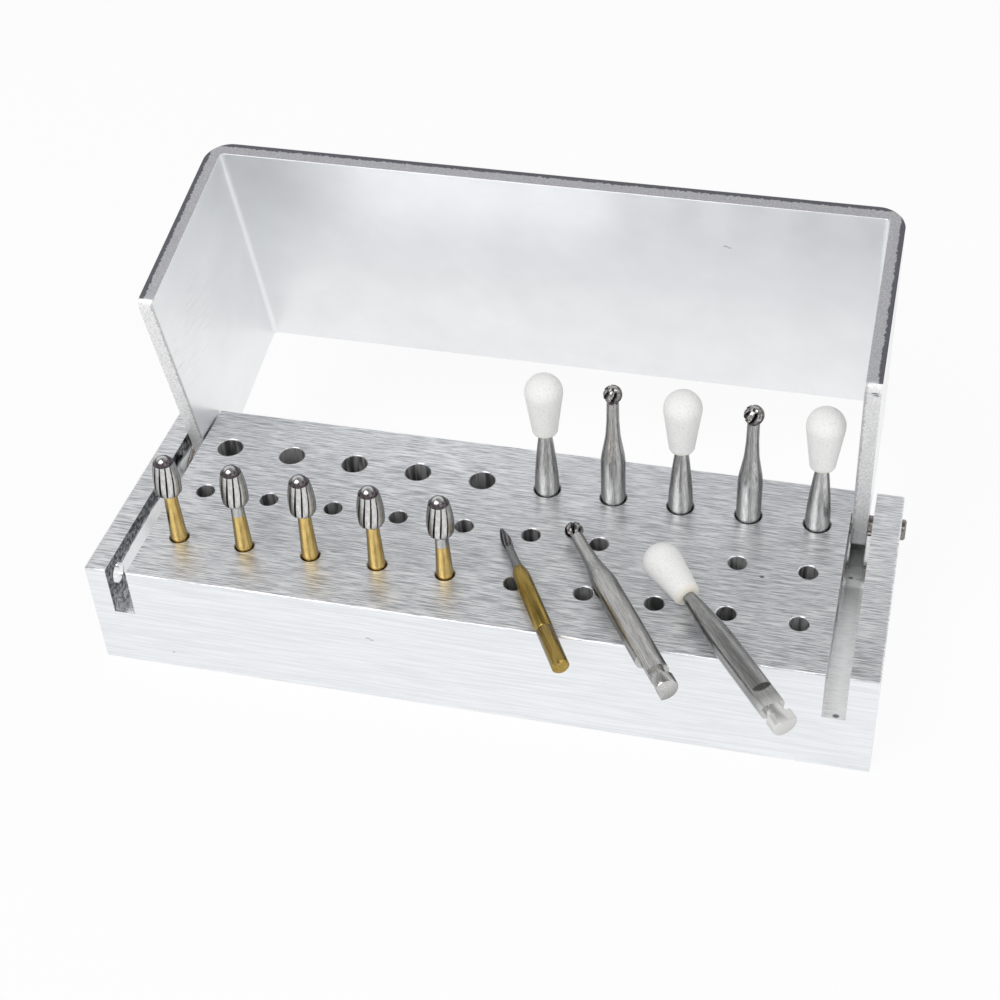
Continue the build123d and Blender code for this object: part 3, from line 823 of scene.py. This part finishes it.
def needle_head(length):
    """Slim flame head on its long bare neck."""
    points = [(0, 0), (0.2, 0.35), (0.34, 0.9), (0.45, 1.5), (0.5, 2.1), (0.47, 2.6), (0.37, 3.05),
              (0.4, 4.8), (0.5, NEEDLE_HEAD_LENGTH), (0, NEEDLE_HEAD_LENGTH)]
    profile = [(x, length - drop) for x, drop in points]
    bm = lathe(dense(profile), 6 * 8)
    depths = (0.0, 0.08, 0.08, 0.04, 0.02, 0.01)

    def pull(radius, height, place):
        ease = min(1.0, (length - height) / 0.8, max(0.0, (height - length + 3.05) / 0.3))
        return radius - depths[place] * ease, height

    def lands(radius, height, place):
        return int(height < length - 3.0 or place == 0 or place > 3)

    wind(bm, 8, (0.0, 0.03, 0.16, 0.34, 0.56, 0.78), lands, 0.3, pull)
    return bm


def needle_shank(length):
    """Plated shank with a fine ring turned in it."""
    ring = 4.75
    groove = 0.05
    return lathe([(0, 0), (GRIP_RADIUS - 0.15, 0), (GRIP_RADIUS, 0.15), (GRIP_RADIUS, ring),
                  (GRIP_RADIUS - groove, ring + 0.08), (GRIP_RADIUS, ring + 0.16), (GRIP_RADIUS, length - 7.3),
                  (0.77, length - 6.9), (0.72, length - 6.5), (0.64, length - 6.2),
                  (0.54, length - NEEDLE_HEAD_LENGTH), (0, length - NEEDLE_HEAD_LENGTH)])


def latch_shank(profile_top):
    """Shank with a latch flat and groove at its foot, and the given run up to its neck."""
    edge = 0.2
    groove_low = 1.15
    groove_high = 2.1
    groove_radius = 0.78
    foot = [(0, 0), (LATCH_RADIUS - edge, 0), (LATCH_RADIUS - 0.06, 0.06), (LATCH_RADIUS, edge),
            (LATCH_RADIUS, groove_low), (groove_radius, groove_low), (groove_radius, groove_high),
            (LATCH_RADIUS, groove_high)]
    body = lathe(foot + profile_top)
    flat = box_mesh((LATCH_FLAT, -3, -1), (3, 3, LATCH_FLAT_TOP))
    return carved(body, [flat])


def stone_shank(length):
    """Latch shank that swells straight down from the stone."""
    top = length - STONE_LENGTH
    return latch_shank([(LATCH_RADIUS, top - 6.1), (1.11, top - 4.8), (0.96, top - 3.1), (0.78, top - 1.4),
                        (0.6, top), (0, top)])


def round_shank(length):
    """Latch shank with a long slim neck and a shoulder."""
    top = length - ROUND_HEAD_LENGTH
    neck = ROUND_NECK_RADIUS
    return latch_shank([(LATCH_RADIUS, top - 7.0), (1.1, top - 6.2), (0.96, top - 5.4), (0.82, top - 4.6),
                        (neck + 0.14, top - 3.9), (neck + 0.03, top - 2.2), (neck, top), (0, top)])


def stone_head(length):
    """Pear-shaped white stone with a rounded foot."""
    radius = 1.8
    crown = arc((0, length - radius), radius, 90, -8, 20)
    low = length - STONE_LENGTH
    return lathe(crown + dense([crown[-1], (1.24, low + 0.55)])[1:]
                 + [(1.22, low + 0.34), (1.12, low + 0.16), (0.98, low + 0.04), (0.85, low), (0, low)])


def round_head(length, radius):
    """Ball head with six slanting gullets that run out near its tip."""
    centre = length - radius
    bottom = length - ROUND_HEAD_LENGTH
    ball = arc((0, centre), radius, 90, -49, 40)
    bm = lathe(ball + [(ROUND_NECK_RADIUS, bottom), (0, bottom)], 9 * 6)
    depths = (0.0, 0.27, 0.3, 0.21, 0.1, 0.0, 0.0, 0.0, 0.0)

    def pull(out, height, place):
        up = height - centre
        polar = atan2(out, up)
        ease = min(1.0, max(0.0, (polar - radians(18)) / radians(30)))
        if height < centre - 0.8 * radius:
            return out, height
        keep = 1.0 - depths[place] * ease
        return max(out * keep, min(out, 0.5 * radius)), centre + up * keep

    def lands(out, height, place):
        return int(place == 0 or place > 4)

    wind(bm, 6, (0.0, 0.03, 0.12, 0.22, 0.32, 0.42, 0.56, 0.72, 0.86), lands, 0.6, pull)
    return bm


def remember(bm, tip):
    """Keep a turned piece's own coordinates, measured from its tip, for its materials."""
    layer = bm.verts.layers.float_vector.new("own")
    for vert in bm.verts:
        vert[layer] = vert.co - Vector((0, 0, tip))
    return bm


def make_bur(nodes, shapes, materials, slots, length, place):
    """Put a bur's head and shank in place."""
    for node, bm, names, slot in zip(nodes, shapes, materials, slots):
        metals = [bpy.data.materials[name] for name in names]
        finished(f"{node}_detail", moved(remember(bm, length), place), metals, "block", slot, [node])


class BURBLOCK_OT_finishing_burs(Operator):
    """Stand the five gold finishing burs in the front row"""
    bl_idname = "burblock.finishing_burs"
    bl_label = "Finishing burs"

    def execute(self, context):
        for index, height in enumerate(FINISHING_HEIGHTS):
            length = height + GRIP_SOCKET_DEPTH
            neck = "Gold plate" if index in GOLD_NECKS else "Shank steel"
            name = f"finishing_bur_{index + 1}"
            make_bur([f"{name}_head", f"{name}_shank"], [finishing_head(length), finishing_shank(length)],
                     [["Carbide painted dark", "Carbide groove, painted shade", neck, "Ground carbide"], ["Gold plate"]],
                     ["carbide", "gold_plate"], length, standing(index, ROW_FRONT, GRIP_SOCKET_DEPTH))
        return {"FINISHED"}


class BURBLOCK_OT_latch_burs(Operator):
    """Stand the stones and round burs in the back row"""
    bl_idname = "burblock.latch_burs"
    bl_label = "Stones and round burs"

    def execute(self, context):
        length = STONE_HEIGHT + LATCH_SOCKET_DEPTH
        for index, column in enumerate((5, 7, 9)):
            name = f"stone_bur_{index + 1}"
            make_bur([f"{name}_stone", f"{name}_shank"], [stone_head(length), stone_shank(length)],
                     STONE_METALS, STONE_SLOTS, length, standing(column, ROW_BACK, LATCH_SOCKET_DEPTH))
        for index, column in enumerate((6, 8)):
            length = ROUND_HEIGHTS[index] + LATCH_SOCKET_DEPTH
            name = f"round_bur_{index + 1}"
            make_bur([f"{name}_head", f"{name}_shank"],
                     [round_head(length, ROUND_RADII[index]), round_shank(length)],
                     ROUND_METALS, ROUND_SLOTS, length, standing(column, ROW_BACK, LATCH_SOCKET_DEPTH))
        return {"FINISHED"}


class BURBLOCK_OT_loose_burs(Operator):
    """Lay the needle, the round bur and the stone across the front edge"""
    bl_idname = "burblock.loose_burs"
    bl_label = "Loose burs"

    def execute(self, context):
        length = NEEDLE_LENGTH
        make_bur(["needle_bur_head", "needle_bur_shank"], [needle_head(length), needle_shank(length)],
                 [["Carbide painted dark", "Carbide groove, painted shade"], ["Gold plate, painted shade"]], ["carbide", "gold_plate"], length,
                 lying((10.01, -16.92), GRIP_RADIUS, 120.12))
        length = LOOSE_ROUND_LENGTH
        make_bur(["loose_round_bur_head", "loose_round_bur_shank"],
                 [round_head(length, ROUND_RADII[0]), round_shank(length)],
                 ROUND_METALS, ROUND_SLOTS, length, lying((19.39, -18.12), LATCH_RADIUS, 123.46, 0.0, -105.0))
        length = LOOSE_STONE_LENGTH
        make_bur(["loose_stone_bur_stone", "loose_stone_bur_shank"], [stone_head(length), stone_shank(length)],
                 (("White stone",), ("Dull steel",)), STONE_SLOTS, length,
                 lying((29.71, -19.61), 0.70, 129.12, 2.97, 8.0))
        return {"FINISHED"}


class BURBLOCK_OT_finishes(Operator):
    """Make the shared node groups and the burs' materials"""
    bl_idname = "burblock.finishes"
    bl_label = "Finishes"

    def execute(self, context):
        build_brushed_group()
        build_grain_group()
        build_spot_group()
        make_stone_material()
        for metal in METALS:
            polished_metal(*metal)
        return {"FINISHED"}


# Studio
def area_lamp(name, place, target, size, power):
    """A soft rectangular lamp aimed at a point, in metres."""
    light = bpy.data.lights.new(name, "AREA")
    light.shape = "RECTANGLE"
    light.size, light.size_y = size
    light.energy = power
    lamp = bpy.data.objects.new(name, light)
    bpy.context.scene.collection.objects.link(lamp)
    lamp.location = place
    lamp.rotation_euler = (Vector(target) - Vector(place)).to_track_quat("-Z", "Y").to_euler()


def white_to_camera(tree, closure):
    """Show plain white to camera, glossy and transmission rays, and keep some of the shadow."""
    path = shader_node(tree, "ShaderNodeLightPath")
    seen = maths(tree, "MAXIMUM", path.outputs["Is Camera Ray"], path.outputs["Is Glossy Ray"])
    seen = maths(tree, "MAXIMUM", seen, path.outputs["Is Transmission Ray"])
    share = times(tree, seen, settings().studio.background_share)
    white = shader_node(tree, "ShaderNodeEmission", {"Color": (1, 1, 1, 1), "Strength": 1.0})
    return shader_node(tree, "ShaderNodeMixShader", {0: share, 1: closure, 2: white.outputs[0]}).outputs[0]


class BURBLOCK_OT_stage(Operator):
    """Lay the floor, hang the lamps and place the camera"""
    bl_idname = "burblock.stage"
    bl_label = "Studio"

    def execute(self, context):
        scene = context.scene
        bm = bmesh.new()
        bmesh.ops.create_grid(bm, x_segments=4, y_segments=4, size=1.2)
        floor = loose_object("floor", bm)
        material = bpy.data.materials.new("Pale floor")
        material.use_nodes = True
        tree = material.node_tree
        shader = tree.nodes["Principled BSDF"]
        shader.inputs["Roughness"].default_value = 0.9
        shader.inputs["Base Color"].default_value = (0.92, 0.92, 0.92, 1)
        tree.links.new(white_to_camera(tree, shader.outputs[0]), tree.nodes["Material Output"].inputs[0])
        floor.data.materials.append(material)

        world = bpy.data.worlds.new("Studio")
        scene.world = world
        world.use_nodes = True
        tree = world.node_tree
        where = shader_node(tree, "ShaderNodeTexCoord").outputs["Generated"]
        across, depth, height = axes_of(tree, where)
        sideways = mapped(tree, across, -1.0, 1.0, 0.8, 1.12)
        behind = ramp(tree, height, [(0.0, 0.95), (0.3, 0.95), (0.5, 0.9), (0.66, 0.85), (0.8, 0.5), (1.0, 0.2)])
        ahead = ramp(tree, height, [(0.0, 0.95), (0.3, 0.85), (0.5, 0.5), (0.66, 0.25), (1.0, 0.2)])
        sky = mixed(tree, mapped(tree, depth, -0.1, 0.3), ahead, behind)
        path = shader_node(tree, "ShaderNodeLightPath")
        colour = mixed(tree, path.outputs["Is Camera Ray"], sky, (1, 1, 1))
        tree.links.new(colour, tree.nodes["Background"].inputs["Color"])
        strength = shader_node(tree, "ShaderNodeMix", {0: path.outputs["Is Camera Ray"], 2: sideways, 3: 1.0})
        tree.links.new(strength.outputs[0], tree.nodes["Background"].inputs["Strength"])

        for name, place, size, power in LAMPS:
            area_lamp(name, place, LAMP_TARGET, size, power)
        place_camera(scene)
        scene.view_settings.view_transform = "Standard"
        return {"FINISHED"}


def place_camera(scene):
    """Stand the camera where the photograph was taken from."""
    chosen = settings().studio
    data = bpy.data.cameras.new("Camera")
    data.lens = chosen.lens
    data.sensor_width = 36.0
    data.shift_x, data.shift_y = CAMERA_SHIFT
    data.clip_start = 0.01
    data.clip_end = 10.0
    camera = bpy.data.objects.new("Camera", data)
    scene.collection.objects.link(camera)
    camera.location = chosen.camera_place
    camera.rotation_euler = chosen.camera_turn
    scene.camera = camera


# Settings
class BurBlockBlockSettings(PropertyGroup):
    rim: FloatProperty(name="Socket rim", description="Width of the chamfer round each socket's mouth",
                       default=0.09 * MM, min=0, unit="LENGTH", precision=5)
    edge: FloatProperty(name="Edge break", description="Width of the bevel along the block's outer edges",
                        default=0.2 * MM, min=0, unit="LENGTH", precision=5)
    deck_colour: FloatVectorProperty(name="Deck colour", description="Metal colour of the brushed deck",
                                     default=(0.76, 0.775, 0.81), size=3, subtype="COLOR", min=0, max=1)
    side_colour: FloatVectorProperty(name="Side colour", description="Metal colour of the brushed sides",
                                     default=(0.86, 0.88, 0.9), size=3, subtype="COLOR", min=0, max=1)


class BurBlockLidSettings(PropertyGroup):
    edge: FloatProperty(name="Edge softness", description="Width of the bevel along the sheet's edges",
                        default=0.05 * MM, min=0, unit="LENGTH", precision=5)
    colour: FloatVectorProperty(name="Sheet colour", description="Metal colour of the satin sheet",
                                default=(0.93, 0.94, 0.95), size=3, subtype="COLOR", min=0, max=1)
    roughness: FloatProperty(name="Sheet roughness", description="How matt the sheet is",
                             default=0.3, min=0.05, max=1, subtype="FACTOR")


class BurBlockStudioSettings(PropertyGroup):
    lens: FloatProperty(name="Lens", description="Focal length of the camera", default=64.757,
                        min=10, unit="CAMERA")
    camera_place: FloatVectorProperty(name="Camera place", description="Where the camera stands",
                                      default=(0.036351, -0.120704, 0.124661), size=3, subtype="TRANSLATION")
    camera_turn: FloatVectorProperty(name="Camera turn", description="How the camera is turned",
                                     default=(radians(48.80497), radians(1.40231), radians(12.84544)),
                                     size=3, subtype="EULER")
    background_share: FloatProperty(name="White background", description="How far the floor shows plain white",
                                    default=0.9, min=0, max=1, subtype="FACTOR")


class BurBlockSettings(PropertyGroup):
    block: PointerProperty(type=BurBlockBlockSettings)
    lid: PointerProperty(type=BurBlockLidSettings)
    studio: PointerProperty(type=BurBlockStudioSettings)


OPERATORS = (BURBLOCK_OT_stage, BURBLOCK_OT_finishes, BURBLOCK_OT_block, BURBLOCK_OT_lid, BURBLOCK_OT_pins,
             BURBLOCK_OT_finishing_burs, BURBLOCK_OT_latch_burs, BURBLOCK_OT_loose_burs)


class BURBLOCK_PT_panel(Panel):
    """Every step of the bur block, in order"""
    bl_idname = "BURBLOCK_PT_panel"
    bl_label = "Bur Block"
    bl_space_type = "VIEW_3D"
    bl_region_type = "UI"
    bl_category = "Bur Block"

    def draw(self, context):
        for operator in OPERATORS:
            self.layout.operator(operator.bl_idname)
        chosen = context.scene.bur_block
        for group in (chosen.block, chosen.lid, chosen.studio):
            for name in group.__annotations__:
                self.layout.prop(group, name)


CLASSES = (BurBlockBlockSettings, BurBlockLidSettings, BurBlockStudioSettings, BurBlockSettings,
           *OPERATORS, BURBLOCK_PT_panel)


def register():
    for cls in CLASSES:
        bpy.utils.register_class(cls)
    bpy.types.Scene.bur_block = PointerProperty(type=BurBlockSettings)


def unregister():
    del bpy.types.Scene.bur_block
    for cls in reversed(CLASSES):
        bpy.utils.unregister_class(cls)


def main():
    register()
    for operator in OPERATORS:
        group, name = operator.bl_idname.split(".")
        getattr(getattr(bpy.ops, group), name)()


if __name__ == "__main__":
    main()
